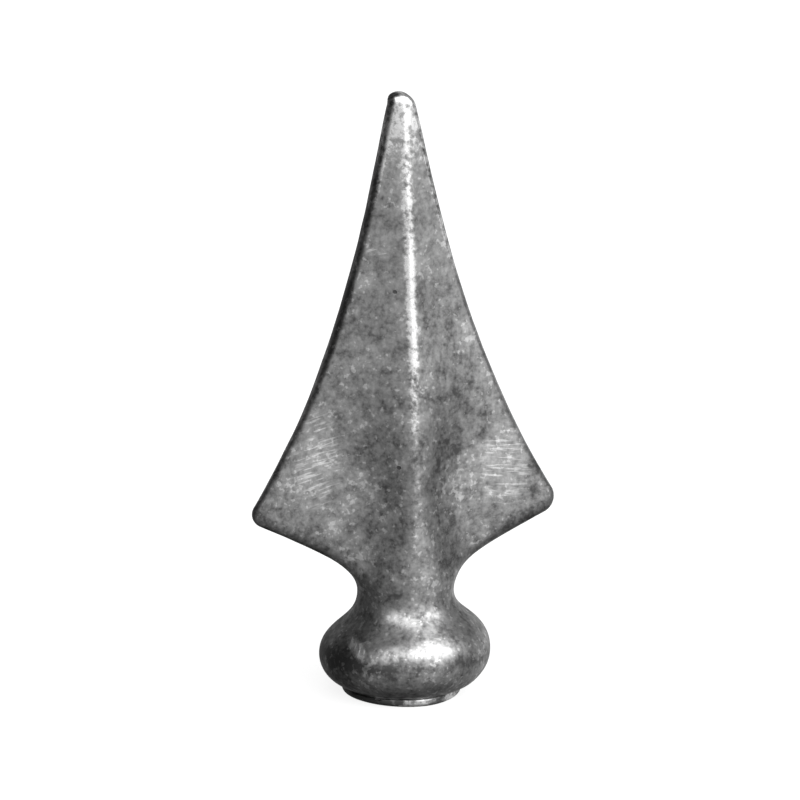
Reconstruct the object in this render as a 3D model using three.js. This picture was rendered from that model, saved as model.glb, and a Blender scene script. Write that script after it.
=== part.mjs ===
// Fence spear point: one solid steel piece, 150 mm tall. A flat-sided blade with a ridge down
// the middle of each face runs out into two barbs. Under it are a round neck, a flattened ball
// (the knop) and a short round foot that is welded to the top of a fence bar.
//
// Frame: millimetres, +Z up, origin in the middle of the foot's flat underside, the blade's
// width along X and its two faces towards -Y and +Y.

import * as THREE from "three";

// Driving dimensions

const height = 150;
const neck = { radius: 11.95, height: 26.1 };
const blade = {
  edge: 2.5,                    // half of the thickness along the side edges
  edgeRound: 1.5,               // how far an edge's rounding reaches in, square to the edge
  edgeFullness: 2.4,            // 2 is an ellipse, more is squarer
  barbRound: 3.6,               // the rounding's reach at the barbs, which are softer
  softBelow: 85,                // the height where the edges start to soften
  softAt: 55,                   // the height from which they are as soft as the barbs
  tipThickness: 3.4,            // half of the thickness where the tip starts to round over
  ridgeHandles: [52, 34],       // neck end and tip end of the ridge's line, seen from the side
  ridgeTaper: 6,                // degrees off the axis where the ridge runs into the tip
  neckMorph: 7,                 // height over which the round neck takes the blade's section
};

// The ridge stands up as a rounded rib between hollows at the bottom of the blade. Towards the
// top it widens and sinks away, and leaves two flat faces that meet at the ridge.
const rib = { share: 0.75, from: 50, to: 105, width: 8, topWidth: 14 };
const faces = { power: 1.1, crest: 2.2, topCrest: 0.5, turn: 6 };

// Just above the neck its round core runs on in the blade, and thins out into the rib.
const core = { width: 11.5, power: 3, from: 27, to: 50 };

// The outline of each side, from the foot up. The two differ a little, as on a hammered piece.
// The slopes are in degrees: of the edge under a barb, and of the side edge off the axis.
const sides = {
  left: {
    footRadius: 16.0, footRound: 1.8, footWall: 2.3,
    bellyRadius: 15.3, bellyHandles: [2.1, 4.6], knopRadius: 21.6, knopHeight: 9.9,
    shoulderHandles: [7.2, 8.5], reach: 38.4, barbHeight: 47.6, barbRadius: 3.3,
    underSlope: 26.5, sideSlope: 33,
  },
  right: {
    footRadius: 13.6, footRound: 0.6, footWall: 2.1,
    bellyRadius: 14.8, bellyHandles: [2.2, 4.8], knopRadius: 21.1, knopHeight: 10.9,
    shoulderHandles: [8.7, 6.5], reach: 38.4, barbHeight: 47.6, barbRadius: 4.5,
    underSlope: 25.6, sideSlope: 32,
  },
};
const bellyLift = 0.15;             // step between the foot's wall and the ball above it
const bellySlope = 8;               // degrees, where the ball comes down on the foot
const underHandles = [6.8, 15.5];   // neck end and barb end of the curve under a barb
const sideHandles = [46, 11];       // barb end and tip end of the hollow side edge
const tip = { radius: 3.3, slope: 16, shift: -0.7, shiftFrom: 146.5 };

// Rings on each stretch of the outline, and points on a quarter of each ring
const rings = { footRound: 2, belly: 7, shoulder: 12, under: 14, barb: 6, side: 24, tip: 5 };
const quarterSteps = 12;
const crestPull = 1.3;              // above 1, the points of a quarter crowd towards the ridge
const lookUpSteps = 200;            // points on a curve that is read off by height

// Helpers

const radians = (degrees) => (degrees * Math.PI) / 180;
const lerp = (a, b, k) => a + (b - a) * k;

// The point at a length from another, in a direction in degrees above level.
function along([x, y], length, degrees) {
  return [x + length * Math.cos(radians(degrees)), y + length * Math.sin(radians(degrees))];
}

// A step from 0 to 1 that starts and ends without a bend: 6k^5 - 15k^4 + 10k^3.
function smooth(value, from, to) {
  const k = Math.min(Math.max((value - from) / (to - from), 0), 1);
  return k ** 3 * (k * (6 * k - 15) + 10);
}

function curve(start, startHandle, endHandle, end, steps) {
  const points = [start, startHandle, endHandle, end].map(([x, y]) => new THREE.Vector2(x, y));
  return new THREE.CubicBezierCurve(...points).getPoints(steps).slice(1);
}

function arc([x, y], radius, from, to, steps) {
  const points = [];
  for (let i = 1; i <= steps; i += 1) {
    points.push(new THREE.Vector2(...along([x, y], radius, lerp(from, to, i / steps))));
  }
  return points;
}

// The x of a list of rising points at a height, in a straight line between neighbours.
function acrossAt(points, z) {
  const next = points.findIndex((point) => point.y >= z);
  if (next < 1) {
    return next === 0 ? points[0].x : points[points.length - 1].x;
  }
  const [low, high] = [points[next - 1], points[next]];
  return lerp(low.x, high.x, (z - low.y) / (high.y - low.y));
}

// The hollow side edge from above the barb to where the tip rounds over.
function sideEdge({ reach, barbHeight, barbRadius, sideSlope }, steps) {
  const start = along([reach - barbRadius, barbHeight], barbRadius, sideSlope);
  const end = along([0, height - tip.radius], tip.radius, tip.slope);
  const startHandle = along(start, sideHandles[0], sideSlope + 90);
  const endHandle = along(end, -sideHandles[1], tip.slope + 90);
  return curve(start, startHandle, endHandle, end, steps);
}

// One side's outline, as points of reach from the axis and height, from the underside's rim
// up to the tip. Arcs and curves meet with a common tangent, except over the foot.
function sideOutline(side) {
  const { footRadius, footRound, footWall, bellyRadius, bellyHandles } = side;
  const { knopRadius, knopHeight, shoulderHandles } = side;
  const { reach, barbHeight, barbRadius, underSlope, sideSlope } = side;

  const flatRadius = footRadius - footRound;
  const bellyStart = [bellyRadius, footWall + bellyLift];
  const knopPoint = [knopRadius, knopHeight];
  const neckPoint = [neck.radius, neck.height];
  const barbCentre = [reach - barbRadius, barbHeight];
  const barbStart = along(barbCentre, barbRadius, underSlope - 90);

  return [
    new THREE.Vector2(flatRadius, 0),
    ...arc([flatRadius, footRound], footRound, -90, 0, rings.footRound),
    new THREE.Vector2(footRadius, footWall),
    new THREE.Vector2(...bellyStart),
    ...curve(
      bellyStart, along(bellyStart, bellyHandles[0], bellySlope),
      along(knopPoint, -bellyHandles[1], 90), knopPoint, rings.belly,
    ),
    ...curve(
      knopPoint, along(knopPoint, shoulderHandles[0], 90),
      along(neckPoint, -shoulderHandles[1], 90), neckPoint, rings.shoulder,
    ),
    ...curve(
      neckPoint, along(neckPoint, underHandles[0], 90),
      along(barbStart, -underHandles[1], underSlope), barbStart, rings.under,
    ),
    ...arc(barbCentre, barbRadius, underSlope - 90, sideSlope, rings.barb),
    ...sideEdge(side, rings.side),
    ...arc([0, height - tip.radius], tip.radius, tip.slope, 90, rings.tip),
  ];
}

// The ridge, as points of distance from the axis and height, from the neck to the tip.
const ridgeTop = [blade.tipThickness, height - tip.radius];
const ridgeLine = curve(
  [neck.radius, neck.height], [neck.radius, neck.height + blade.ridgeHandles[0]],
  along(ridgeTop, -blade.ridgeHandles[1], 90 + blade.ridgeTaper), ridgeTop, lookUpSteps,
);

// 1 up to the tip's rounding, and from there a quarter circle down to 0.
function tipDome(z) {
  const over = Math.max(z - height + tip.radius, 0) / tip.radius;
  return Math.sqrt(Math.max(1 - over ** 2, 0));
}

// How far out the blade's flat face would run at a height. It follows the side edge, which is
// drawn on straight below a barb, and turns softly into one width for all that lies lower.
const barbLine = (sides.left.barbHeight + sides.right.barbHeight) / 2;
const edgeCurve = sideEdge(sides.right, lookUpSteps);
const edgeLow = along(edgeCurve[0].toArray(), sides.right.barbRadius, sides.right.sideSlope - 90);
const edgeLine = [new THREE.Vector2(...edgeLow), ...edgeCurve];

function faceReach(z) {
  const above = faces.turn * Math.log1p(Math.exp((z - barbLine) / faces.turn));
  return acrossAt(edgeLine, barbLine + above);
}

// Half of the blade's thickness at a distance from the ridge and a height, before its edges are
// rounded: a flat face that falls from the ridge to the edge, with a bell-shaped rib on it, and
// lowest down the wider and squarer bell of the core.
function bladeDepth(x, z) {
  const top = smooth(z, rib.from, rib.to);
  const crest = lerp(faces.crest, faces.topCrest, top);
  const fall = (Math.hypot(x, crest) - crest) / (Math.hypot(faceReach(z), crest) - crest);
  const flat = Math.max(1 - fall, 0) ** faces.power;
  const bell = Math.exp(-((x / lerp(rib.width, rib.topWidth, top)) ** 2));
  const round = Math.exp(-((Math.abs(x) / core.width) ** core.power));
  const ribbed = lerp(flat, bell, rib.share * (1 - top));
  const ridge = acrossAt(ridgeLine, z) * tipDome(z);
  const edge = blade.edge * tipDome(z);
  return edge + (ridge - edge) * lerp(round, ribbed, smooth(z, core.from, core.to));
}

// The shortest distance from a point to a side's outline.
function edgeDistance(outline, x, z) {
  const point = new THREE.Vector3(x, z, 0);
  const nearest = new THREE.Vector3();
  const piece = new THREE.Line3();
  let distance = Infinity;
  for (let i = 1; i < outline.length; i += 1) {
    piece.start.set(outline[i - 1].x, outline[i - 1].y, 0);
    piece.end.set(outline[i].x, outline[i].y, 0);
    piece.closestPointToPoint(point, true, nearest);
    distance = Math.min(distance, nearest.distanceTo(point));
  }
  return distance;
}

// The blade's half thickness times a superellipse of the distance to the outline, which rounds
// off its edges.
function roundedBladeDepth(outline, width, x, z) {
  const soft = lerp(blade.barbRound, blade.edgeRound, smooth(z, blade.softAt, blade.softBelow));
  const reach = Math.min(soft, width / 2);
  const over = Math.max(1 - edgeDistance(outline, x, z) / reach, 0);
  const rounded = (1 - over ** blade.edgeFullness) ** (1 / blade.edgeFullness);
  return bladeDepth(x, z) * rounded;
}

// One side of a ring, as points from the ridge to the edge: reach, depth and height. Up to the
// neck a section is an ellipse, and above it the blade's.
function halfRing(own, opposite, index, neckIndex) {
  const middle = own[index].clone().add(opposite[index]).multiplyScalar(0.5);
  const lean = own[index].clone().sub(middle);
  const points = [];
  for (let k = 0; k <= quarterSteps; k += 1) {
    const across = Math.sin((k / quarterSteps) ** crestPull * (Math.PI / 2));
    const x = middle.x * across + lean.x;
    const z = middle.y + lean.y * across;
    const ellipse = Math.sqrt(Math.max(1 - across ** 2, 0));
    let depth = middle.x * ellipse;
    if (index > neckIndex) {
      const ridge = acrossAt(ridgeLine, z) * tipDome(z);
      const share = smooth(z, neck.height, neck.height + blade.neckMorph);
      depth = lerp(ridge * ellipse, roundedBladeDepth(own, middle.x, x, z), share);
    }
    points.push([x, depth, z]);
  }
  return points;
}

// One closed ring of points, counter-clockwise from the right edge as seen from above. The tip
// is bent a little to the left.
function ringPoints(left, right, index, neckIndex) {
  const onLeft = halfRing(left, right, index, neckIndex).map(([x, y, z]) => [-x, y, z]);
  const onRight = halfRing(right, left, index, neckIndex);
  const inFront = ([x, y, z]) => [x, -y, z];
  return [
    ...onRight.slice(1).reverse(),
    ...onLeft.slice(0, -1),
    ...onLeft.slice(1).reverse().map(inFront),
    ...onRight.slice(0, -1).map(inFront),
  ].map(([x, y, z]) => [x + tip.shift * smooth(z, tip.shiftFrom, height), y, z]);
}

// A closed skin over the rings, with a fan on the underside and one at the tip.
function loft(ringList, bottomPoint, topPoint) {
  const count = ringList[0].length;
  const positions = [...ringList.flat(), bottomPoint, topPoint].flat();
  const bottom = ringList.length * count;
  const top = bottom + 1;
  const last = (ringList.length - 1) * count;
  const triangles = [];
  for (let j = 0; j < count; j += 1) {
    const next = (j + 1) % count;
    triangles.push(bottom, next, j, top, last + j, last + next);
    for (let i = 0; i < ringList.length - 1; i += 1) {
      const low = i * count;
      const high = low + count;
      triangles.push(low + j, low + next, high + next, low + j, high + next, high + j);
    }
  }
  const geometry = new THREE.BufferGeometry();
  geometry.setAttribute("position", new THREE.Float32BufferAttribute(positions, 3));
  geometry.setIndex(triangles);
  geometry.computeVertexNormals();
  return geometry;
}

function spearGeometry() {
  const left = sideOutline(sides.left);
  const right = sideOutline(sides.right);
  const neckIndex = 2 + rings.footRound + rings.belly + rings.shoulder;
  const ringList = [];
  for (let index = 0; index < left.length - 1; index += 1) {
    ringList.push(ringPoints(left, right, index, neckIndex));
  }
  const footCentre = [(right[0].x - left[0].x) / 2, 0, 0];
  return loft(ringList, footCentre, [tip.shift, 0, height]);
}

const rawSteel = new THREE.MeshStandardMaterial({
  name: "raw_steel",
  color: 0x8a8a8a,
  roughness: 0.42,
  metalness: 1,
});

const spearPoint = new THREE.Mesh(spearGeometry(), rawSteel);
spearPoint.name = "spear_point";

const fenceSpearPoint = new THREE.Group();
fenceSpearPoint.add(spearPoint);

export default fenceSpearPoint;
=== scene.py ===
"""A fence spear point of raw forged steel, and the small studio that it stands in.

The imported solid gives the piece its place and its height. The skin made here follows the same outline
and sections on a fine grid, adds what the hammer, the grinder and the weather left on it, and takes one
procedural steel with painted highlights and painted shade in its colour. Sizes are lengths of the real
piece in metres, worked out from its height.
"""

import math

import bpy
import numpy as np
from bpy.props import FloatProperty, FloatVectorProperty, PointerProperty
from mathutils import Matrix, Vector


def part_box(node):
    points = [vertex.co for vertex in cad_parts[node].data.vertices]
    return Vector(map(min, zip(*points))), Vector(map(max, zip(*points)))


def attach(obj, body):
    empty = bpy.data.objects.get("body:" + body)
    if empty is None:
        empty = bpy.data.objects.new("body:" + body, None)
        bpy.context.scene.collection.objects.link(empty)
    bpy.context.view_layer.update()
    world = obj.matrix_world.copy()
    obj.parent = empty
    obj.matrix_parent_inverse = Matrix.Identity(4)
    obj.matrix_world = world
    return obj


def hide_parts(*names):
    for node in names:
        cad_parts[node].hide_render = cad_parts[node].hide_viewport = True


bl_info = {
    "name": "Fence Spear Point",
    "version": (1, 0, 0),
    "blender": (4, 5, 0),
    "location": "View3D > Sidebar > Spear Point",
    "description": "Makes a forged fence spear point and the studio around it",
    "category": "Add Mesh",
}

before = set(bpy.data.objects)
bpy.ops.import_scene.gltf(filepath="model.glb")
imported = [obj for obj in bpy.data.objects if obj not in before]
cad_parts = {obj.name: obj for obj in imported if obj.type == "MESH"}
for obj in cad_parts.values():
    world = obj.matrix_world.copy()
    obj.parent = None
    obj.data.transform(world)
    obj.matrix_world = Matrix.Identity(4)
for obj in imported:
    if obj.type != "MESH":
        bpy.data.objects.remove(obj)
SOLID = "spear_point"
LOW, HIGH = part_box(SOLID)
DESIGN_HEIGHT = 150                       # millimetres, the height that the sizes below belong to
MM = (HIGH.z - LOW.z) / DESIGN_HEIGHT     # one of those millimetres, in metres
TINY = 1e-9
LEFT, RIGHT = 0, 1                        # places in a pair of sizes

# Rows of the skin on each stretch of the outline, and points on a quarter of each row
ROWS = {"belly": 34, "shoulder": 48, "under": 66, "barb": 22, "side": 150, "tip": 16}
FOOT_ROWS = {"under": 8, "rim": 6, "wall": 4, "top": 3, "ledge": 2}
QUARTER_STEPS = 64
CREST_PULL = 1.15                         # above 1, the points of a quarter crowd towards the ridge
EDGE_ROWS = 24                            # rows on either side that are searched for the nearest edge
CURVE_STEPS = 400                         # points on a curve before it is divided evenly
LATTICE_SIDE = 32                         # random numbers along each side of the noise's lattice
WAVE_SEED, DENT_SEED = 11, 12

# Noise runs from 0 to 1 around its mean, and a mark comes out of it between two levels. The last pair
# is for what is rubbed bright, a painted highlight, once the mottling and the grain have broken it up.
NOISE_MEAN = 0.5
FLECK_LEVELS = (0.6, 0.7)
SPOT_LEVELS = (0.49, 0.62)
STROKE_LEVELS = (0.52, 0.66)
WORN_LEVELS = (0.12, 0.8)

# Squared distances, from outside to inside, between which an oval's line is softened
FIELD_LINE = (1.5, 0.1)
PIT_LINE = (1.6, 0.3)


# Sizes and colours

def length(name, text, size):
    """A length that is given in millimetres of the real piece."""
    return FloatProperty(name=name, description=text, default=size * MM, unit="LENGTH", precision=5)


def lengths(name, text, left, right):
    """A length of the left side and one of the right side, in millimetres of the real piece."""
    default = (left * MM, right * MM)
    return FloatVectorProperty(name=name, description=text, size=2, default=default, unit="LENGTH")


def span(name, text, start, end):
    """Where something sets in and where it is full, in millimetres of the real piece."""
    return lengths(name, text, start, end)


def degrees(name, text, angle):
    return FloatProperty(name=name, description=text, default=math.radians(angle), subtype="ANGLE")


def angles(name, text, first, second):
    """Two angles in degrees, of the left and the right side or of two places."""
    default = (math.radians(first), math.radians(second))
    return FloatVectorProperty(name=name, description=text, size=2, default=default, unit="ROTATION")


def number(name, text, value):
    return FloatProperty(name=name, description=text, default=value)


def glow(name, text, azimuth, elevation, tightness, strength):
    """A soft light: its direction in degrees, how tight it is, and its strength."""
    return FloatVectorProperty(
        name=name, description=text, size=4, default=(azimuth, elevation, tightness, strength))


def colour(name, text, value):
    return FloatVectorProperty(name=name, description=text, size=3, default=value, subtype="COLOR")


class SpearOutlineSizes(bpy.types.PropertyGroup):
    """The silhouette. Most sizes come as a pair, because the two sides differ as on a hammered piece."""

    foot_radius: lengths("Foot radius", "Reach of the foot's wall on each side", 16.0, 13.6)
    foot_wall: lengths("Foot wall", "Height of the foot's wall", 2.3, 2.1)
    belly_radius: lengths("Belly radius", "Reach of the ball where it meets the foot", 15.3, 14.8)
    belly_low: lengths("Belly handle, low", "Curve handle at the foot", 2.1, 2.2)
    belly_high: lengths("Belly handle, high", "Curve handle at the ball's widest", 4.6, 4.8)
    knop_radius: lengths("Ball radius", "Widest reach of the ball", 21.6, 21.1)
    knop_height: lengths("Ball height", "Height of the ball's widest line", 9.9, 10.9)
    shoulder_low: lengths("Shoulder handle, low", "Curve handle at the ball's widest", 7.2, 8.7)
    shoulder_high: lengths("Shoulder handle, high", "Curve handle at the neck", 8.5, 6.5)
    reach: lengths("Barb reach", "Reach of the barb from the axis", 38.4, 38.4)
    barb_height: lengths("Barb height", "Height of the barb's rounding centre", 47.6, 47.6)
    barb_radius: lengths("Barb radius", "Rounding of the barb in the outline", 3.3, 4.5)
    under_slope: angles("Under slope", "Rise of the edge under each barb", 26.5, 25.6)
    side_slope: angles("Side slope", "Lean of each side edge just above the barb", 33, 32)
    belly_lift: length("Belly lift", "Step between the foot's wall and the ball", 0.15)
    belly_slope: degrees("Belly slope", "Slope of the ball where it meets the foot", 8)
    neck_radius: length("Neck radius", "Radius of the neck at its thinnest", 11.95)
    neck_height: length("Neck height", "Height of the neck's thinnest ring", 26.1)
    under_neck: length("Under handle, neck", "Curve handle at the neck, below a barb", 6.8)
    under_barb: length("Under handle, barb", "Curve handle at the barb, below it", 15.5)
    side_low: length("Side handle, barb", "Curve handle of the side edge at the barb", 46)
    side_high: length("Side handle, tip", "Curve handle of the side edge at the tip", 11)
    tip_radius: length("Tip radius", "Rounding of the tip in the outline", 3.3)
    tip_slope: degrees("Tip slope", "Lean of the side edge at the tip", 16)
    tip_shift: length("Tip shift", "How far the very tip is bent to the left", 0.7)
    tip_bend: length("Tip bend", "Length of the bent end of the tip", 3.5)


class SpearSectionSizes(bpy.types.PropertyGroup):
    """The blade's thickness: a ridge on each face, flat sides, and rounded edges."""

    edge: length("Edge", "Half of the thickness along the side edges", 2.5)
    edge_round: length("Edge rounding", "Reach of an edge's rounding, square to the edge", 1.5)
    edge_fullness: number("Edge fullness", "2 is an ellipse, more is squarer", 2.4)
    barb_round: length("Barb rounding", "Reach of the rounding at the barbs", 3.6)
    soft_below: length("Soft below", "Height where the edges start to soften", 85)
    soft_at: length("Soft at", "Height from which they are as soft as the barbs", 55)
    tip_thickness: length("Tip thickness", "Half of the thickness where the tip rounds over", 3.4)
    ridge_low: length("Ridge handle, neck", "Curve handle of the ridge at the neck", 52)
    ridge_high: length("Ridge handle, tip", "Curve handle of the ridge at the tip", 34)
    ridge_taper: degrees("Ridge taper", "Lean of the ridge where it meets the tip", 6)
    core_width: length("Core width", "Half of the width of the round core just above the neck", 11.5)
    core_power: number("Core power", "Fall of the core's sides: 2 is a bell, more is squarer", 3)
    core_from: length("Core from", "Height where the round core starts to thin out into the rib", 27)
    core_to: length("Core to", "Height where it has", 50)
    neck_morph: length("Neck morph", "Height over which the round neck takes the blade's section", 7)
    rib_share: number("Rib share", "How far the ridge is a rib between hollows, low on the blade", 0.75)
    rib_from: length("Rib from", "Height where the rib starts to sink into flat faces", 50)
    rib_to: length("Rib to", "Height where it has sunk", 105)
    rib_width: length("Rib width", "Width of the rib low on the blade", 8)
    rib_top_width: length("Rib top width", "Width of the rib where it sinks", 14)
    face_power: number("Face power", "1 is a flat face, more is hollow", 1.1)
    crest: length("Crest", "Roundness of the ridge low on the blade", 2.2)
    top_crest: length("Top crest", "Roundness of the ridge near the tip", 1.0)
    face_turn: length("Face turn", "Height over which the face's reach stops growing", 6)


class HandWork(bpy.types.PropertyGroup):
    """What the hammer and wear left in the shape."""

    foot_bulge: length("Foot bulge", "How far the foot's front swells out", 0.65)
    foot_bulge_at: degrees("Bulge place", "Direction of that swelling", -76)
    foot_bulge_spread: degrees("Bulge spread", "How far round it reaches", 26)
    foot_sharp: length("Sharp rim", "Rounding of the foot's lower rim where it is unworn", 0.8)
    foot_worn: length("Worn rim", "Rounding of the rim where it is worn", 2.0)
    foot_worn_at: degrees("Worn place", "Middle direction of the worn rim", -150)
    foot_worn_spread: degrees("Worn spread", "How far round the wear reaches", 46)
    foot_top: length("Foot top", "Rounding of the foot's upper rim", 0.5)
    wave: length("Wave", "Depth of the broad unevenness of the faces", 0.12)
    wave_size: length("Wave size", "Size of that unevenness", 15)
    dents: length("Dents", "Depth of the small hammered unevenness", 0.05)
    dent_size: length("Dent size", "Size of the small unevenness", 4.5)
    uneven_from: span("Uneven from", "Heights between which all of it sets in", 0, 2)


class SteelFinish(bpy.types.PropertyGroup):
    """Raw steel: satin, mottled, lighter where it was ground, with painted shade in the hollows and at the
    edges and painted highlights where it is called rubbed.
    """

    light: colour("Bare steel", "Colour of the cleanest metal", (0.95, 0.95, 0.95))
    dark: colour("Scale", "Colour under a thin skin of scale", (0.12, 0.12, 0.12))
    clean: number("Clean", "How far the plain surface is from scale to bare steel", 0.26)
    patch_size: length("Patch size", "Size of the broad patches", 9)
    patch_depth: number("Patch depth", "How strongly the broad patches differ", 0.55)
    mottle_size: length("Mottle size", "Size of the mottling", 3.0)
    mottle_depth: number("Mottle depth", "How strongly the mottling differs", 0.82)
    grain_size: length("Grain size", "Size of the fine grain", 1.0)
    grain_depth: number("Grain depth", "How strongly the grain differs", 0.55)
    fleck_size: length("Fleck size", "Size of the bright flecks", 1.3)
    flecks: number("Flecks", "How bright the flecks are", 0.3)
    fleck_patches: number("Fleck patches", "How far the flecks gather in the light patches", 0.5)
    # Painted light: the blade is made lighter towards the tip, where its faces lean back towards the
    # lights.
    top_clean: number("Clean top", "How much cleaner the blade is towards the tip", 0.1)
    top: span("Top", "Heights between which it gets cleaner", 96, 134)
    spot_size: length("Spot size", "Size of the dark spots in the rubbed metal near the tip", 1.7)
    spots: number("Spots", "How dark those spots are", 0.5)
    # Painted shade: how dark the painted shade carried by the scaled attribute makes the steel.
    scale_depth: number("Scale depth", "How dark the scale is", 0.085)
    # Painted highlight: how much lighter the places in the rubbed attribute are made.
    worn_light: number("Worn light", "How much lighter the rubbed metal is", 0.52)
    worn_contrast: number("Worn contrast", "How much stronger the mottling is where it is rubbed", 1.6)
    worn_mottle: number("Worn mottle", "How far the mottling breaks up what is rubbed", 2.0)
    worn_grain: number("Worn grain", "How far the grain breaks up what is rubbed", 2.4)
    satin: number("Satin", "Roughness of the plain metal", 0.36)
    rubbed: number("Rubbed", "Roughness of the rubbed ridge and edges", 0.3)
    mottled_gloss: number("Mottled gloss", "How much smoother the light mottling is", 0.25)
    relief: length("Relief", "Depth of the mottling in the surface", 0.06)
    grain_relief: number("Grain relief", "Depth of the grain, as a share of the mottling's", 0.35)
    rubbed_relief: number("Rubbed relief", "How much stronger the relief is where it is rubbed", 1.5)
    ground_relief: number("Ground relief", "Height of the ground fields, as a share of the mottling's", 0.3)
    pit_size: length("Pit size", "Radius of the two pits on the front", 0.45)
    ground: number("Ground", "How much lighter the ground fields are", 0.13)
    strokes: number("Strokes", "How bright the grinder's strokes in them are", 0.42)
    stroke_length: length("Stroke length", "Length of a stroke", 4.5)
    stroke_width: length("Stroke width", "Width of a stroke", 0.6)
    front_line: length("Front line", "Depth over which the front's marks end at the sides", 1.0)


class SteelWearAndPaintedLight(bpy.types.PropertyGroup):
    """Painted highlights, given as steel rubbed bright with its lower roughness, and painted shade, given
    as scale left on it.
    """

    # Painted highlights, given as rubbed metal: the line on the ridge, the strips beside the tip's edges
    # and the tip all over.
    ridge_width: length("Ridge width", "Half width of the rubbed line on the ridge", 1.3)
    ridge_from: span("Ridge from", "Heights between which that line sets in", 28, 40)
    ridge_low: number("Ridge low", "How far the ridge is rubbed low on the blade", 0.22)
    ridge_bright: span("Ridge bright", "Heights between which it gets rubbed bright", 55, 100)
    rim_width: length("Rim width", "Half width of the rubbed strips beside the tip's edges", 0.5)
    rim_inside: length("Rim inside", "How far those strips lie inside the outline", 1.0)
    rim_from: lengths("Rim from", "Height where the strip on each side starts", 112, 96)
    rim_to: lengths("Rim to", "Height from which it is bright", 136, 120)
    tip: number("Tip", "How far the tip is rubbed all over", 0.5)
    tip_from: span("Tip from", "Heights between which that sets in", 124, 143)
    # Painted highlights on the front of the foot's wall, given as rubbed metal.
    crescents: number("Crescents", "How far two places on the front of the foot's wall are rubbed", 0.9)
    crescent_places: angles("Crescent places", "Directions of those places", -96, -56)
    crescent_spreads: angles("Crescent spreads", "How far round each of them reaches", 15, 9)
    crescent_top: span("Crescent top", "Heights between which they end", 1.6, 2.2)
    # Painted shade, called scale: the bands beside the rib and the margin inside the outline low on the
    # blade.
    beside: length("Scale beside", "How far from the ridge the dark bands beside the rib lie", 7)
    beside_width: length("Scale beside width", "Half width of those bands", 5)
    beside_from: span("Scale beside from", "Heights between which they set in", 18, 30)
    margin: length("Margin scale", "Width of the dark band inside the outline, low on the blade", 4.5)
    margin_from: span("Margin scale from", "Heights between which it sets in", 30, 44)
    # Painted shade, called scale: the ball's left side, and the belt along its widest line on the front.
    ball: number("Ball scale", "How far the ball's left side is scaled", 1.3)
    ball_left: span("Ball scale left", "Distances to the left between which that sets in", 6, 18)
    ball_top: span("Ball scale top", "Heights between which it ends", 18, 26)
    belt: number("Belt scale", "How far the ball's widest line is scaled", 2.2)
    belt_height: length("Belt height", "Height of the middle of that belt", 11.5)
    belt_width: length("Belt width", "Half width of the belt", 2.0)
    belt_more: number("Belt, more", "How much more scale it has on the left", 1.2)
    belt_left: span("Belt left", "Distances to the left between which it gets more", 0, 12)
    belt_front: span("Belt front", "Distances to the front between which it sets in", -14, 8)
    # Painted shade, called scale: the foot's wall but for its crescents.
    wall: number("Wall scale", "How far the foot's wall is scaled, but for the crescents", 2.5)
    wall_top: span("Wall scale top", "Heights between which that ends", 1.6, 2.6)
    # Painted shade, called scale: the thin dark lines inside the upper edges, wider on the shaded left.
    edge: number("Edge scale", "How far the upper edges are scaled", 3.0)
    edge_width: lengths("Edge scale width", "Width of the thin dark line inside each edge", 1.2, 0.6)
    edge_from: span("Edge scale from", "Heights between which those lines set in", 70, 100)


class StudioSizes(bpy.types.PropertyGroup):
    """The view, the floor and the lights."""

    view_azimuth: degrees("View azimuth", "Direction of the camera, left of the front", -14)
    view_elevation: degrees("View elevation", "Height of the camera above level", 12)
    view_roll: degrees("View roll", "Lean of the picture", 0.47)
    view_distance: length("View distance", "Distance of the camera from the piece", 750)
    view_lens: number("Lens", "Focal length on a 36 mm sensor", 137.6)
    view_shift: FloatVectorProperty(
        name="View shift", description="Place of the piece in the picture", size=2,
        default=(-0.0046, -0.0045))
    floor_size: length("Floor", "Side of the floor", 12000)
    floor_colour: colour("Floor colour", "Pale paper", (0.33, 0.33, 0.33))
    floor_lift: number("Floor lift", "Light that the floor gives off to stay white", 0.85)
    key: glow("Key", "Main soft box, high on the right", 43, 60, 30, 4.5)
    key_middle: glow("Key middle", "The main soft box's lower right part", 49, 41, 24, 4.9)
    key_side: glow("Key side", "The main soft box's left end", -24, 47, 16, 4.4)
    front_high: glow("Front high", "Soft light over the camera", 23, 21, 12, 1.3)
    front: glow("Front", "Broad light from the front right", 39, 2, 4.5, 1.03)
    front_left: glow("Front left", "Weak light from the front left", -36, -2, 4.5, 0.46)
    below: glow("Below", "Light thrown up by the floor", -25, -48, 3, 0.24)
    right: glow("Right", "Weak light from low on the right", 108, -22, 5, 0.26)
    back: glow("Back", "Light from behind on the right", 130, -8, 9, 0.75)
    back_left: glow("Back left", "Weak light from behind", -166, 4, 7, 0.23)
    back_key: glow("Back key", "Soft box behind, high up", 150, 42, 14, 0.6)
    room: number("Room", "Light that comes from all sides", 0.035)


# Curves in the outline's plane, as rows of reach and height

def toward(angle):
    return np.array([math.cos(angle), math.sin(angle)])


def smooth(value, start, end):
    """0 before start and 1 after end, with the step 6k^5 - 15k^4 + 10k^3 between them, which starts
    and ends without a bend."""
    k = np.clip((value - start) / (end - start), 0, 1)
    return k ** 3 * (k * (6 * k - 15) + 10)


def blend(a, b, k):
    return a + (b - a) * k


def bell(value, middle, width):
    """1 at the middle: e to the power of less the square of the distance from it over the width."""
    return np.exp(-(((value - middle) / width) ** 2))


def curve(start, start_handle, end_handle, end):
    """Cubic Bezier curve: each of the four points times its Bernstein polynomial in k."""
    k = np.linspace(0, 1, CURVE_STEPS)[:, None]
    low = (1 - k) ** 3 * start + 3 * k * (1 - k) ** 2 * start_handle
    return low + 3 * k ** 2 * (1 - k) * end_handle + k ** 3 * end


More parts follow.
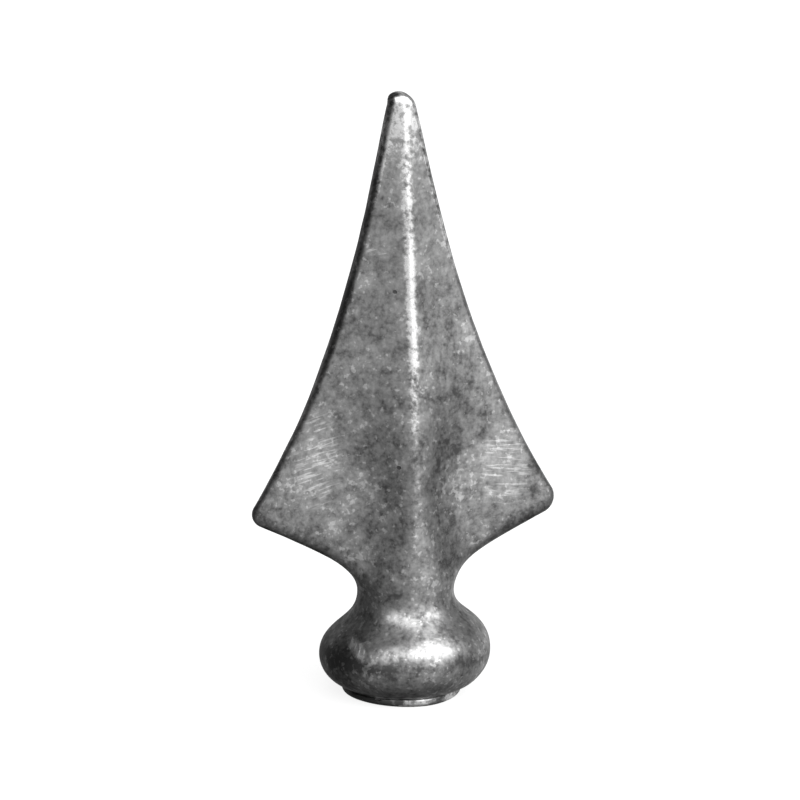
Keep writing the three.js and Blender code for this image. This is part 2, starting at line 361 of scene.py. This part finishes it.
def arc(centre, radius, start, end):
    """Circular arc: centre plus radius times the cosine and sine of an angle."""
    angle = np.linspace(start, end, CURVE_STEPS)
    return centre + radius * np.column_stack([np.cos(angle), np.sin(angle)])


def even(line, count):
    """The line as count points at even steps along its length, without its first point."""
    passed = np.concatenate([[0], np.cumsum(np.hypot(*np.diff(line, axis=0).T))])
    wanted = np.linspace(0, passed[-1], count + 1)[1:]
    return np.column_stack([np.interp(wanted, passed, line[:, i]) for i in range(2)])


def side_edge(sizes, side):
    """The hollow side edge: a Bezier curve from above the barb to where the tip rounds over."""
    barb = np.array([sizes.reach[side] - sizes.barb_radius[side], sizes.barb_height[side]])
    tip = np.array([0, DESIGN_HEIGHT * MM - sizes.tip_radius])
    start = barb + sizes.barb_radius[side] * toward(sizes.side_slope[side])
    end = tip + sizes.tip_radius * toward(sizes.tip_slope)
    start_handle = start + sizes.side_low * toward(sizes.side_slope[side] + math.pi / 2)
    end_handle = end - sizes.side_high * toward(sizes.tip_slope + math.pi / 2)
    return curve(start, start_handle, end_handle, end)


def side_outline(sizes, side):
    """One side's outline from the ball's lower end to the tip: belly, shoulder and the hollow under
    the barb are Bezier curves, the barb and the tip are arcs, and neighbours share a tangent."""
    up = np.array([0, 1])
    foot = np.array([sizes.belly_radius[side], sizes.foot_wall[side] + sizes.belly_lift])
    knop = np.array([sizes.knop_radius[side], sizes.knop_height[side]])
    neck = np.array([sizes.neck_radius, sizes.neck_height])
    radius = sizes.barb_radius[side]
    slope = sizes.under_slope[side]
    barb = np.array([sizes.reach[side] - radius, sizes.barb_height[side]])
    barb_start = barb + radius * toward(slope - math.pi / 2)
    tip = np.array([0, DESIGN_HEIGHT * MM - sizes.tip_radius])
    belly = curve(
        foot, foot + sizes.belly_low[side] * toward(sizes.belly_slope),
        knop - sizes.belly_high[side] * up, knop)
    shoulder = curve(
        knop, knop + sizes.shoulder_low[side] * up, neck - sizes.shoulder_high[side] * up, neck)
    under = curve(
        neck, neck + sizes.under_neck * up,
        barb_start - sizes.under_barb * toward(slope), barb_start)
    return np.vstack([
        foot[None],
        even(belly, ROWS["belly"]),
        even(shoulder, ROWS["shoulder"]),
        even(under, ROWS["under"]),
        even(arc(barb, radius, slope - math.pi / 2, sizes.side_slope[side]), ROWS["barb"]),
        even(side_edge(sizes, side), ROWS["side"]),
        even(arc(tip, sizes.tip_radius, sizes.tip_slope, math.pi / 2), ROWS["tip"]),
    ])


# The skin

def ridge_line(outline, section):
    """The ridge seen from the side: a Bezier curve of depth and height from the neck to the tip."""
    start = np.array([outline.neck_radius, outline.neck_height])
    end = np.array([section.tip_thickness, DESIGN_HEIGHT * MM - outline.tip_radius])
    start_handle = start + section.ridge_low * toward(math.pi / 2)
    end_handle = end - section.ridge_high * toward(math.pi / 2 + section.ridge_taper)
    return curve(start, start_handle, end_handle, end)


def face_reach(outline, section, height):
    """How far the flat face would run: the right side edge's reach, at a height that a soft step
    keeps above the barbs."""
    barb_line = sum(outline.barb_height) / 2
    turn = section.face_turn
    above = turn * np.log1p(np.exp((height - barb_line) / turn))
    edge = side_edge(outline, RIGHT)
    lower = edge[0] + outline.barb_radius[RIGHT] * toward(outline.side_slope[RIGHT] - math.pi / 2)
    edge = np.vstack([lower, edge])
    return np.interp(barb_line + above, edge[:, 1], edge[:, 0])


def blade_depth(outline, section, x, z):
    """Half of the blade's thickness at a distance from the ridge and a height, without its rounded
    edges: a flat face that falls from the ridge to the edge, mixed low down with a bell-shaped rib,
    and lowest down with the wider and squarer bell of the neck's core."""
    top = smooth(z, section.rib_from, section.rib_to)
    crest = blend(section.crest, section.top_crest, top)
    span = face_reach(outline, section, z)
    fall = (np.hypot(x, crest) - crest) / (np.hypot(span, crest) - crest)
    flat = np.clip(1 - fall, 0, None) ** section.face_power
    hump = bell(x, 0, blend(section.rib_width, section.rib_top_width, top))
    core = np.exp(-((x / section.core_width) ** section.core_power))
    rib = blend(flat, hump, section.rib_share * (1 - top))
    dome = tip_dome(outline, z)
    ridge, edge = ridge_depth(outline, section, z), section.edge * dome
    return edge + (ridge - edge) * blend(core, rib, smooth(z, section.core_from, section.core_to))


def tip_dome(outline, z):
    """1 up to the tip's rounding, and from there a quarter circle down to 0."""
    start = DESIGN_HEIGHT * MM - outline.tip_radius
    over = np.clip((z - start) / outline.tip_radius, 0, 1)
    return np.sqrt(1 - over ** 2)


def ridge_depth(outline, section, z):
    """The ridge's distance from the axis: its line, then the tip's dome."""
    line = ridge_line(outline, section)
    return np.interp(z, line[:, 1], line[:, 0]) * tip_dome(outline, z)


def edge_distance(line, x, z):
    """How far each point lies inside the outline: the shortest of its distances to the outline's
    pieces up to some rows above and below its own."""
    point = np.stack([x, z], axis=-1)
    rows = np.arange(len(line))
    nearest = np.full(x.shape, np.inf)
    for offset in range(-EDGE_ROWS, EDGE_ROWS):
        start = line[np.clip(rows + offset, 0, len(line) - 2)][:, None]
        piece = line[np.clip(rows + offset, 0, len(line) - 2) + 1][:, None] - start
        share = np.sum((point - start) * piece, axis=-1) / np.sum(piece ** 2, axis=-1)
        closest = start + piece * np.clip(share, 0, 1)[..., None]
        nearest = np.minimum(nearest, np.linalg.norm(point - closest, axis=-1))
    return nearest


def half_grid(outline, section, lines, side):
    """One side of the body as rows of points from the ridge to the edge, with the depth counted
    outwards, and how far each point lies inside the outline. Up to the neck a section is an ellipse.
    Above it the blade's thickness ends over the edge in a superellipse of that distance."""
    middle = (lines[LEFT] + lines[RIGHT]) / 2
    lean = lines[side] - middle
    width = middle[:, :1]
    steps = np.linspace(0, 1, QUARTER_STEPS + 1)[None] ** CREST_PULL
    across = np.sin(steps * math.pi / 2)
    x = width * across + lean[:, :1]
    z = middle[:, 1:] + lean[:, 1:] * across

    soft = smooth(z, section.soft_at, section.soft_below)
    rounding = np.minimum(blend(section.barb_round, section.edge_round, soft), width / 2 + TINY)
    gap = edge_distance(lines[side], x, z)
    over = np.clip(1 - gap / rounding, 0, 1)
    rounded = (1 - over ** section.edge_fullness) ** (1 / section.edge_fullness)
    blade = blade_depth(outline, section, x, z) * rounded

    above_neck = np.arange(len(middle))[:, None] > ROWS["belly"] + ROWS["shoulder"]
    ridge = np.where(above_neck, ridge_depth(outline, section, z), width)
    share = smooth(z, outline.neck_height, outline.neck_height + section.neck_morph) * above_neck
    depth = blend(ridge * np.sqrt(1 - across ** 2), blade, share)
    return np.stack([x * (-1, 1)[side], depth, z], axis=-1), gap


def all_round(left, right, turned):
    """Rows that run all round the body, counter-clockwise from the right edge, from those of its
    two halves. The front is the back times turned."""
    outward, inward = slice(None, 0, -1), slice(None, -1)
    return np.hstack([
        right[:, outward], left[:, inward], left[:, outward] * turned, right[:, inward] * turned])


def body_grid(outline, section):
    """The skin from the ball's lower end to the tip, as a grid of rows up the outline and points
    round the section, and how far each point lies inside the outline. The tip is bent a little."""
    sides = (LEFT, RIGHT)
    lines = [side_outline(outline, side) for side in sides]
    (left, left_gap), (right, right_gap) = (half_grid(outline, section, lines, side) for side in sides)
    grid = all_round(left, right, np.array([1, -1, 1]))
    top = DESIGN_HEIGHT * MM
    grid[..., 0] -= outline.tip_shift * smooth(grid[..., 2], top - outline.tip_bend, top)
    return grid, all_round(left_gap, right_gap, 1)


def by_side(pair, x):
    """The left value of a pair at the points on the left, and the right value at the others."""
    return np.where(x < 0, *pair)


def around(angle, middle, spread):
    """A bell round a direction: 1 at its middle, by the wrapped angle over the spread."""
    return bell((angle - middle + math.pi) % (2 * math.pi) - math.pi, 0, spread)


def crescent_bells(wear, grid):
    """The two places of painted highlight on the front of the foot's wall: the sum of two bells of the
    direction.
    """
    angle = np.arctan2(grid[..., 1], grid[..., 0])
    places = zip(wear.crescent_places, wear.crescent_spreads)
    return sum(around(angle, middle, spread) for middle, spread in places)


def rubbed_and_highlight_amount(wear, grid, gap):
    """How far the metal is made lighter, a painted highlight given as rubbed metal: the most of a bell
    across the ridge, a bell across a strip inside the outline and an even share over the tip, each growing
    with height, and the foot's crescents."""
    x, z = grid[..., 0], grid[..., 2]
    ridge = bell(x, 0, wear.ridge_width) * smooth(z, *wear.ridge_from)
    ridge *= blend(wear.ridge_low, 1, smooth(z, *wear.ridge_bright))
    rim = bell(gap, wear.rim_inside, wear.rim_width)
    rim *= smooth(z, by_side(wear.rim_from, x), by_side(wear.rim_to, x))
    tip = wear.tip * smooth(z, *wear.tip_from)
    foot = wear.crescents * crescent_bells(wear, grid) * (1 - smooth(z, *wear.crescent_top))
    return np.maximum(np.maximum(ridge, rim), tip) + foot


def painted_shade_amount(wear, section, grid, gap):
    """Painted shade, called scale, as a sum. Where the blade has its rib, a bell on each side of it and one
    along the outline. Above, a narrow bell along the outline. On the ball, its left side and a belt
    that fades to the back. On the foot, the wall but for its crescents."""
    x, y, z = np.moveaxis(grid, -1, 0)
    low = 1 - smooth(z, section.rib_from, section.rib_to)
    beside = bell(np.abs(x), wear.beside, wear.beside_width) * low * smooth(z, *wear.beside_from)
    margin = bell(gap, 0, wear.margin) * low * smooth(z, *wear.margin_from)
    edge = wear.edge * bell(gap, 0, by_side(wear.edge_width, x)) * smooth(z, *wear.edge_from)
    # Painted shade on the ball's left side, along its widest line on the front, and on the foot's wall.
    ball = wear.ball * smooth(-x, *wear.ball_left) * (1 - smooth(z, *wear.ball_top))
    belt = wear.belt + wear.belt_more * smooth(-x, *wear.belt_left)
    belt = belt * bell(z, wear.belt_height, wear.belt_width) * smooth(-y, *wear.belt_front)
    wall = wear.wall * (1 - smooth(z, *wear.wall_top))
    wall = wall * (1 - np.clip(crescent_bells(wear, grid), 0, 1))
    return beside + margin + edge + ball + belt + wall


def foot_grid(outline, work, belly_ring):
    """The foot from its middle up to the ball: a flat underside, a rim whose rounding grows where it
    is worn, a wall that swells at the front, and a ledge back to the ball. Each row up to the ledge is
    a radius and a height for every direction. The underside's middle point comes with them."""
    angle = np.arange(belly_ring.shape[0]) / belly_ring.shape[0] * 2 * math.pi
    middle = (outline.foot_radius[RIGHT] - outline.foot_radius[LEFT]) / 2
    wall = sum(outline.foot_wall) / 2
    bulge = work.foot_bulge * around(angle, work.foot_bulge_at, work.foot_bulge_spread)
    radius = sum(outline.foot_radius) / 2 + bulge
    worn = around(angle, work.foot_worn_at, work.foot_worn_spread)
    rim = blend(work.foot_sharp, work.foot_worn, worn)
    top = work.foot_top

    def share(name):
        count = FOOT_ROWS[name]
        return (np.arange(1, count + 1) / count)[:, None]

    under, rise = share("under"), share("wall")
    turn, over = share("rim") * math.pi / 2, share("top") * math.pi / 2
    inward = share("ledge")[:-1]
    flat = radius - rim
    stretches = (
        (under * flat, 0),
        (flat + rim * np.sin(turn), rim * (1 - np.cos(turn))),
        (radius, blend(rim, wall - top, rise)),
        (radius - top * (1 - np.cos(over)), wall - top * (1 - np.sin(over))),
    )
    stretches = [np.broadcast_arrays(*stretch) for stretch in stretches]
    r, z = (np.vstack(rows) for rows in zip(*stretches))
    x, y = middle + r * np.cos(angle), r * np.sin(angle)
    grid = np.stack([x, y, z], axis=-1)
    ledge = blend(grid[-1:], belly_ring[None], inward[..., None])
    return np.concatenate([grid, ledge]), np.array([middle, 0, 0])


def lattice_noise(points, size, seed):
    """Smooth noise from -1 to 1: random numbers on a cubic lattice, mixed between the eight corners
    round a point with the smooth step."""
    table = np.random.default_rng(seed).uniform(-1, 1, (LATTICE_SIDE,) * 3)
    cell = np.floor(points / size).astype(int)
    k = smooth(points / size - cell, 0, 1)
    total = np.zeros(points.shape[:-1])
    for corner in np.ndindex(2, 2, 2):
        weight = np.prod(np.where(corner, k, 1 - k), axis=-1)
        x, y, z = np.moveaxis((cell + corner) % LATTICE_SIDE, -1, 0)
        total += weight * table[x, y, z]
    return total


def outward_normals(grid):
    """Unit normals of a grid whose rows close on themselves: the cross product of its two directions."""
    along_row = np.roll(grid, -1, axis=1) - np.roll(grid, 1, axis=1)
    up_rows = np.gradient(grid, axis=0)
    normal = np.cross(along_row, up_rows)
    return normal / np.maximum(np.linalg.norm(normal, axis=-1, keepdims=True), TINY)


def hammered(grid, work):
    """The grid moved along its normals by broad and small noise, fading out at the flat underside."""
    wave = work.wave * lattice_noise(grid, work.wave_size, WAVE_SEED)
    dents = work.dents * lattice_noise(grid, work.dent_size, DENT_SEED)
    share = smooth(grid[..., 2], *work.uneven_from)
    return grid + outward_normals(grid) * ((wave + dents) * share)[..., None]


def skin_mesh(name, grid, bottom, top, amounts):
    """One closed mesh: quads between the rows of the grid, and fans to a bottom and a top point. The
    amounts are arrays of the grid's shape, and become the mesh's attributes."""
    rows, count = grid.shape[:2]
    corner = np.arange(rows * count).reshape(rows, count)
    after = np.roll(corner, -1, axis=1)
    quads = np.stack([corner[:-1], after[:-1], after[1:], corner[1:]], axis=-1).reshape(-1, 4)
    low = np.full(count, rows * count)
    fans = np.vstack([
        np.column_stack([low, after[0], corner[0]]),
        np.column_stack([low + 1, corner[-1], after[-1]]),
    ])
    points = np.vstack([grid.reshape(-1, 3), bottom, top])
    loops = np.concatenate([quads.ravel(), fans.ravel()])
    sides = np.concatenate([np.full(len(quads), 4), np.full(len(fans), 3)])
    mesh = bpy.data.meshes.new(name)
    mesh.vertices.add(len(points))
    mesh.vertices.foreach_set("co", points.astype(np.float32).ravel())
    mesh.loops.add(len(loops))
    mesh.loops.foreach_set("vertex_index", loops.astype(np.int32))
    mesh.polygons.add(len(sides))
    mesh.polygons.foreach_set("loop_start", (np.cumsum(sides) - sides).astype(np.int32))
    for label, values in amounts.items():
        spread = np.append(values.ravel(), [0, values[-1].mean()])
        mesh.attributes.new(label, "FLOAT", "POINT").data.foreach_set("value", spread.astype(np.float32))
    mesh.update(calc_edges=True)
    mesh.shade_smooth()
    return mesh


# Materials

class Term:
    """A node's output in an expression. Each operator adds one Math node."""

    def __init__(self, recipe, socket):
        self.recipe = recipe
        self.socket = socket

    def math(self, operation, *values):
        inputs = dict(enumerate(values))
        return self.recipe.add("ShaderNodeMath", {"operation": operation}, inputs)

    def __add__(self, other):
        return self.math("ADD", self, other)

    def __sub__(self, other):
        return self.math("SUBTRACT", self, other)

    def __rsub__(self, other):
        return self.math("SUBTRACT", other, self)

    def __mul__(self, other):
        return self.math("MULTIPLY", self, other)

    def __truediv__(self, other):
        return self.math("DIVIDE", self, other)

    def __pow__(self, other):
        return self.math("POWER", self, other)

    __radd__ = __add__
    __rmul__ = __mul__


class Recipe:
    """The node tree of a material or a world, emptied and then filled one node at a time."""

    def __init__(self, owner):
        owner.use_nodes = True
        self.tree = owner.node_tree
        self.tree.nodes.clear()

    def add(self, kind, settings=None, inputs=None, output=0):
        """A node of a type, with its settings set first and then its sockets' values or links."""
        node = self.tree.nodes.new(kind)
        for name, value in (settings or {}).items():
            setattr(node, name, value)
        for key, value in (inputs or {}).items():
            if isinstance(value, Term):
                self.tree.links.new(value.socket, node.inputs[key])
            else:
                node.inputs[key].default_value = value
        return Term(self, node.outputs[output]) if node.outputs else node

    def split(self, vector):
        """The three numbers of a vector."""
        node = self.add("ShaderNodeSeparateXYZ", {}, {"Vector": vector}).socket.node
        return [Term(self, socket) for socket in node.outputs]

    def noise(self, where, size, detail=2.0, roughness=0.5, shape=(1, 1, 1)):
        """Noise from 0 to 1 whose features measure about size, over shape's number for each axis."""
        scaled = self.add("ShaderNodeMapping", {}, {"Vector": where, "Scale": [s / size for s in shape]})
        inputs = {"Vector": scaled, "Scale": 1, "Detail": detail, "Roughness": roughness}
        return self.add("ShaderNodeTexNoise", {"noise_dimensions": "3D"}, inputs)

    def glow(self, where, azimuth, elevation, tightness, strength):
        """A soft light in the world: strength times e to the power of tightness times the cosine of
        the angle to its middle, less one."""
        middle = direction(math.radians(azimuth), math.radians(elevation))
        dot = self.add(
            "ShaderNodeVectorMath", {"operation": "DOT_PRODUCT"}, {0: where, 1: middle}, "Value")
        return strength * self.add(
            "ShaderNodeMath", {"operation": "EXPONENT"}, {0: (dot - 1) * tightness})

    def step(self, value, start, end, low=0.0, high=1.0):
        """The value carried from start..end to low..high, with smooth ends."""
        inputs = {"Value": value, "From Min": start, "From Max": end, "To Min": low, "To Max": high}
        return self.add("ShaderNodeMapRange", {"interpolation_type": "SMOOTHSTEP"}, inputs)

    def mix(self, factor, first, second):
        """Two colours mixed by a factor. The node's sockets for colours are 6, 7 and, going out, 2."""
        settings = {"data_type": "RGBA", "clamp_factor": True}
        inputs = {0: factor, 6: first, 7: second}
        return self.add("ShaderNodeMix", settings, inputs, 2)


def solid_colour(value):
    return (*value, 1)


# The grinder's fields on the front: the middle, and half of the width and height, in millimetres, the
# slope of the strokes in degrees, and the field's strength
GROUND_FIELDS = (
    ((-22.5, 61), (5.5, 12), 17, 1),
    ((25, 57), (7, 10), -6, 1),
    ((-6.3, 112), (3.5, 1.4), 20, 1),
    ((-15.2, 15.2), (1.5, 2.0), 65, 4),
)
PITS = ((-3.8, 59.5), (-3.7, 102.3))      # the places of the two pits on the front, in millimetres


def oval(across, up, middle, wide, high):
    """The sum of the squares of the distances across and up from a middle, each over its half width
    or height: 0 in the middle, 1 on the oval's line and more outside."""
    x, z = middle
    return ((across - x * MM) / wide) ** 2 + ((up - z * MM) / high) ** 2


def ground_amount(recipe, place, across, up, finish):
    """The fields that were ground: lighter, with short strokes of noise drawn out along the slope."""
    stroke = (1 / finish.stroke_length, 1 / finish.stroke_length, 1 / finish.stroke_width)
    total = 0
    for middle, (wide, high), slope, strength in GROUND_FIELDS:
        turned = recipe.add("ShaderNodeMapping", {}, {
            "Vector": place, "Rotation": (0, math.radians(slope), 0)})
        drawn = recipe.step(recipe.noise(turned, 1, detail=1.5, shape=stroke), *STROKE_LEVELS)
        field = recipe.step(oval(across, up, middle, wide * MM, high * MM), *FIELD_LINE)
        total = total + field * (drawn * finish.strokes + finish.ground) * strength
    return total


def pit_amount(recipe, across, up, finish):
    """1 in the pits and 0 outside: a round oval for each."""
    ovals = [oval(across, up, middle, finish.pit_size, finish.pit_size) for middle in PITS]
    return sum(recipe.step(value, *PIT_LINE) for value in ovals)


def raw_steel(finish):
    """Satin forged steel: a thin skin of scale over bare metal, in patches, mottling, flecks and a
    fine grain. The mesh's attributes carry painted highlights, as metal rubbed bright, and painted shade,
    as more scale. The front is ground in fields and has two pits."""
    material = bpy.data.materials.new("raw_steel")
    recipe = Recipe(material)
    place = recipe.add("ShaderNodeTexCoord", output="Object")
    across, deep, up = recipe.split(place)
    patches = recipe.noise(place, finish.patch_size) - NOISE_MEAN
    mottle = recipe.noise(place, finish.mottle_size, detail=3, roughness=0.6) - NOISE_MEAN
    grain = recipe.noise(place, finish.grain_size, roughness=0.6) - NOISE_MEAN
    flecks = recipe.step(
        recipe.noise(place, finish.fleck_size) + patches * finish.fleck_patches, *FLECK_LEVELS)
    spots = recipe.step(recipe.noise(place, finish.spot_size, roughness=0.55), *SPOT_LEVELS)
    # Painted highlights come in the rubbed attribute, and painted shade in the scaled one.
    rubbed = recipe.add("ShaderNodeAttribute", {"attribute_name": "rubbed"}, output="Fac")
    scaled = recipe.add("ShaderNodeAttribute", {"attribute_name": "scaled"}, output="Fac")
    front = recipe.step(deep, finish.front_line, -finish.front_line)
    ground = ground_amount(recipe, place, across, up, finish) * front
    pitted = pit_amount(recipe, across, up, finish) * front

    broken = mottle * finish.worn_mottle + grain * finish.worn_grain + 1
    # worn is the broken-up painted highlight of the rubbed attribute; it also sets the lower roughness.
    worn = recipe.step(rubbed * broken, *WORN_LEVELS)
    skin = patches * finish.patch_depth + mottle * finish.mottle_depth + grain * finish.grain_depth
    skin = skin * (worn * finish.worn_contrast + 1)
    high = recipe.step(up, *finish.top)
    # The painted highlights and the painted lighter top are added with the real flecks and ground fields;
    # the painted shade is taken off with the real spots and pits.
    bright = worn * finish.worn_light + flecks * finish.flecks + ground + high * finish.top_clean
    dark = scaled * finish.scale_depth + spots * finish.spots * worn * high ** 2 + pitted
    clean = skin + finish.clean + bright - dark
    base = recipe.mix(clean, solid_colour(finish.dark), solid_colour(finish.light))
    rough = recipe.step(worn, 0, 1, finish.satin, finish.rubbed) - mottle * finish.mottled_gloss
    height = (mottle + grain * finish.grain_relief) * (worn * finish.rubbed_relief + 1)
    height = height + ground * finish.ground_relief - pitted
    normal = recipe.add("ShaderNodeBump", {}, {
        "Height": height, "Strength": 1, "Distance": finish.relief})
    shader = recipe.add("ShaderNodeBsdfPrincipled", {}, {
        "Base Color": base, "Metallic": 1, "Roughness": rough, "Normal": normal})
    recipe.add("ShaderNodeOutputMaterial", {}, {"Surface": shader})
    return material


def paper(studio):
    """Matt pale paper that gives off a little light, so that it stays white under soft lights."""
    material = bpy.data.materials.new("pale_paper")
    recipe = Recipe(material)
    shader = recipe.add("ShaderNodeBsdfPrincipled", {}, {
        "Base Color": solid_colour(studio.floor_colour), "Roughness": 1, "Specular IOR Level": 0,
        "Emission Color": (1, 1, 1, 1), "Emission Strength": studio.floor_lift})
    recipe.add("ShaderNodeOutputMaterial", {}, {"Surface": shader})
    return material


def link(name, data):
    made = bpy.data.objects.new(name, data)
    bpy.context.scene.collection.objects.link(made)
    return made


class SPEAR_OT_make_point(bpy.types.Operator):
    """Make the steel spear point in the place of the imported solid"""

    bl_idname = "spear.make_point"
    bl_label = "Make Spear Point"

    def execute(self, context):
        scene = context.scene
        outline, section, work = scene.spear_outline, scene.spear_section, scene.spear_work
        body, gap = body_grid(outline, section)
        foot, bottom = foot_grid(outline, work, body[0])
        grid = hammered(np.concatenate([foot, body[:-1]]), work)
        gap = np.concatenate([np.zeros(foot.shape[:2]), gap[:-1]])
        top = body[-1].mean(axis=0)
        # The attributes: painted highlight as rubbed, painted shade as scaled.
        amounts = {
            "rubbed": rubbed_and_highlight_amount(scene.spear_wear, grid, gap),
            "scaled": painted_shade_amount(scene.spear_wear, section, grid, gap),
        }
        mesh = skin_mesh("forged_spear_point", grid, bottom, top, amounts)
        piece = link("forged_spear_point", mesh)
        piece.data.materials.append(raw_steel(scene.spear_steel))
        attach(piece, "root")
        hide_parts(SOLID)
        return {"FINISHED"}


class SPEAR_OT_make_studio(bpy.types.Operator):
    """Make the camera, the pale floor and the soft lights"""

    bl_idname = "spear.make_studio"
    bl_label = "Make Studio"

    def execute(self, context):
        studio = context.scene.spear_studio
        self.make_camera(context, studio)
        self.make_floor(studio)
        self.make_lights(context, studio)
        return {"FINISHED"}

    def make_camera(self, context, studio):
        data = bpy.data.cameras.new("view")
        data.lens = studio.view_lens
        data.shift_x, data.shift_y = studio.view_shift
        camera = link("view", data)
        aim = Vector((0, 0, DESIGN_HEIGHT * MM / 2))
        camera.matrix_world = facing(aim, studio.view_azimuth, studio.view_elevation, studio.view_distance)
        camera.matrix_world @= Matrix.Rotation(-studio.view_roll, 4, "Z")
        context.scene.camera = camera

    def make_floor(self, studio):
        half = studio.floor_size / 2
        places = [(-half, -half, 0), (half, -half, 0), (half, half, 0), (-half, half, 0)]
        mesh = bpy.data.meshes.new("floor")
        mesh.from_pydata(places, [], [(0, 1, 2, 3)])
        floor = link("floor", mesh)
        floor.data.materials.append(paper(studio))
        floor.visible_glossy = False

    def make_lights(self, context, studio):
        world = bpy.data.worlds.new("room")
        context.scene.world = world
        recipe = Recipe(world)
        where = recipe.add("ShaderNodeTexCoord", output="Generated")
        lights = (
            studio.key, studio.key_middle, studio.key_side, studio.front_high, studio.front,
            studio.front_left, studio.below, studio.right, studio.back, studio.back_left, studio.back_key)
        glows = [recipe.glow(where, *light) for light in lights]
        strength = sum(glows, studio.room)
        background = recipe.add("ShaderNodeBackground", {}, {"Strength": strength})
        recipe.add("ShaderNodeOutputWorld", {}, {"Surface": background})
        context.scene.view_settings.view_transform = "Standard"


def direction(azimuth, elevation):
    """A unit vector. Azimuth 0 is the front, and grows to the right."""
    level = math.cos(elevation)
    return Vector((math.sin(azimuth) * level, -math.cos(azimuth) * level, math.sin(elevation)))


def facing(aim, azimuth, elevation, distance):
    """The place of a camera that looks at a point from a direction."""
    back = direction(azimuth, elevation)
    turn = (-back).to_track_quat("-Z", "Y").to_matrix().to_4x4()
    return Matrix.Translation(aim + back * distance) @ turn


class SPEAR_PT_panel(bpy.types.Panel):
    """The steps that make the spear point, in order"""

    bl_label = "Spear Point"
    bl_space_type = "VIEW_3D"
    bl_region_type = "UI"
    bl_category = "Spear Point"

    def draw(self, context):
        for step in OPERATORS:
            self.layout.operator(step.bl_idname)
        for name in GROUPS:
            sizes = getattr(context.scene, name)
            box = self.layout.box()
            box.label(text=name.replace("_", " ").capitalize())
            for size in sizes.bl_rna.properties:
                if size.identifier in sizes.__annotations__:
                    box.prop(sizes, size.identifier)


GROUPS = {
    "spear_outline": SpearOutlineSizes,
    "spear_section": SpearSectionSizes,
    "spear_work": HandWork,
    "spear_steel": SteelFinish,
    "spear_wear": SteelWearAndPaintedLight,
    "spear_studio": StudioSizes,
}
OPERATORS = (SPEAR_OT_make_point, SPEAR_OT_make_studio)


def register():
    for cls in (*GROUPS.values(), *OPERATORS, SPEAR_PT_panel):
        bpy.utils.register_class(cls)
    for name, group in GROUPS.items():
        setattr(bpy.types.Scene, name, PointerProperty(type=group))


def unregister():
    for name in GROUPS:
        delattr(bpy.types.Scene, name)
    for cls in reversed((*GROUPS.values(), *OPERATORS, SPEAR_PT_panel)):
        bpy.utils.unregister_class(cls)


def main():
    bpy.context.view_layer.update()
    register()
    bpy.ops.spear.make_point()
    bpy.ops.spear.make_studio()


if __name__ == "__main__":
    main()
